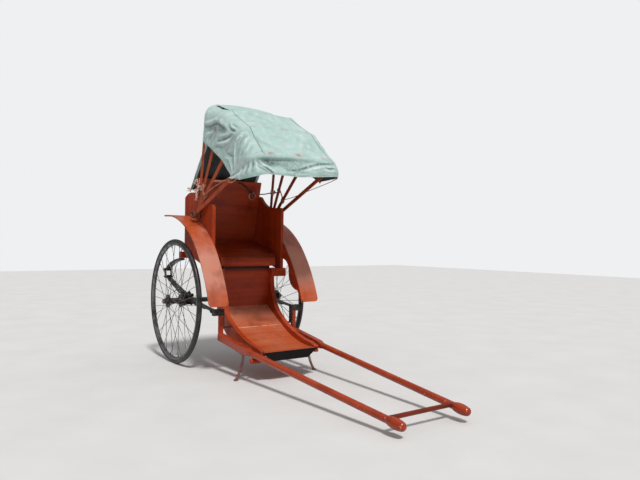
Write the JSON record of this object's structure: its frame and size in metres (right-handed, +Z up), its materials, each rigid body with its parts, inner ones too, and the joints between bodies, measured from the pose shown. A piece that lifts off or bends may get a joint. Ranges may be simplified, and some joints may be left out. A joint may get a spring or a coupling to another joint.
{
  "type": "pulled rickshaw",
  "caption": "Two-wheeled passenger rickshaw pulled by hand, with spoked wheels, long wooden shafts, leaf springs, sleigh-shaped foot rails, mudguards and a folding canvas hood.",
  "frame": {"origin": "on the floor, under the middle of the vehicle's length and width", "axes": "+X forward towards the shaft tips, +Y to the passenger's left, +Z up"},
  "size_m": [2.4728, 0.908, 1.7484],
  "materials": {
    "red_wood": "old orange-red paint on wood, satin, worn",
    "rubber": "thin solid rubber, matt",
    "steel": "dull steel, aged",
    "iron": "dark forged iron",
    "leg_steel": "bare steel with a little rust",
    "canvas": "pale green cotton canvas, creased, rust stains",
    "black_wood": "black paint, matt"
  },
  "bodies": {
    "chassis": {"axle": "iron", "spring_clamps": "iron", "spring_brackets": "iron", "shaft_posts": "red_wood", "rear_shackles": "iron", "crossbar": "red_wood", "footboard": "red_wood", "seat_front": "red_wood", "seat": "red_wood", "seat_box_bottom": "red_wood", "seat_box_sides": "red_wood", "seat_beam": "red_wood", "rear_beam": "red_wood", "rear_board": "red_wood", "backrest": "red_wood", "leg_left": "leg_steel", "leg_right": "leg_steel", "under_bar": "red_wood", "apron": "black_wood", "guard_webs": "red_wood", "hood_pivots": "iron", "leaf_spring_left": "iron", "leaf_spring_right": "iron", "rear_hanger_left": "iron", "rear_hanger_right": "iron", "shaft_left": "red_wood", "shaft_right": "red_wood", "foot_rail_left": "red_wood", "foot_rail_right": "red_wood", "side_panel_left": "red_wood", "side_panel_right": "red_wood", "mudguard_left": "red_wood", "mudguard_right": "red_wood"},
    "wheel_left": {"tyre_left": "rubber", "spoked_rim_left": "steel", "hub_left": "iron"},
    "wheel_right": {"tyre_right": "rubber", "spoked_rim_right": "steel", "hub_right": "iron"},
    "hood_1": {"bow_1": "red_wood", "rear_curtain": "canvas"},
    "hood_2": {"bow_2": "red_wood", "canvas_12": "canvas"},
    "hood_3": {"bow_3": "red_wood", "canvas_23": "canvas"},
    "hood_4": {"bow_4": "red_wood", "canvas_34": "canvas", "front_valance": "canvas"}
  },
  "joints": [
    {"name": "wheel_left_spin", "type": "hinge", "parent": "chassis", "child": "wheel_left", "pos_m": [-0.818, 0.384, 0.419], "axis": [0, 1, 0], "continuous": true},
    {"name": "wheel_right_spin", "type": "hinge", "parent": "chassis", "child": "wheel_right", "pos_m": [-0.818, -0.384, 0.419], "axis": [0, 1, 0], "continuous": true},
    {"name": "hood_fold", "type": "hinge", "parent": "chassis", "child": "hood_1", "pos_m": [-0.678, 0, 1], "axis": [0, -1, 0], "range_deg": [0, 83], "deforming": ["rear_curtain"]},
    {"name": "bow_2_fold", "type": "hinge", "parent": "hood_1", "child": "hood_2", "pos_m": [-0.678, 0, 1], "axis": [0, -1, 0], "range_deg": [0, 10.6], "deforming": ["canvas_12"]},
    {"name": "bow_3_fold", "type": "hinge", "parent": "hood_2", "child": "hood_3", "pos_m": [-0.678, 0, 1], "axis": [0, -1, 0], "range_deg": [0, 11.6], "deforming": ["canvas_23"]},
    {"name": "bow_4_fold", "type": "hinge", "parent": "hood_3", "child": "hood_4", "pos_m": [-0.678, 0, 1], "axis": [0, -1, 0], "range_deg": [0, 9.6], "deforming": ["canvas_34"]}
  ],
  "couplings": [
    {"joint": "bow_2_fold", "follows": "hood_fold", "ratio": 0.12651},
    {"joint": "bow_3_fold", "follows": "hood_fold", "ratio": 0.13855},
    {"joint": "bow_4_fold", "follows": "hood_fold", "ratio": 0.11446}
  ]
}
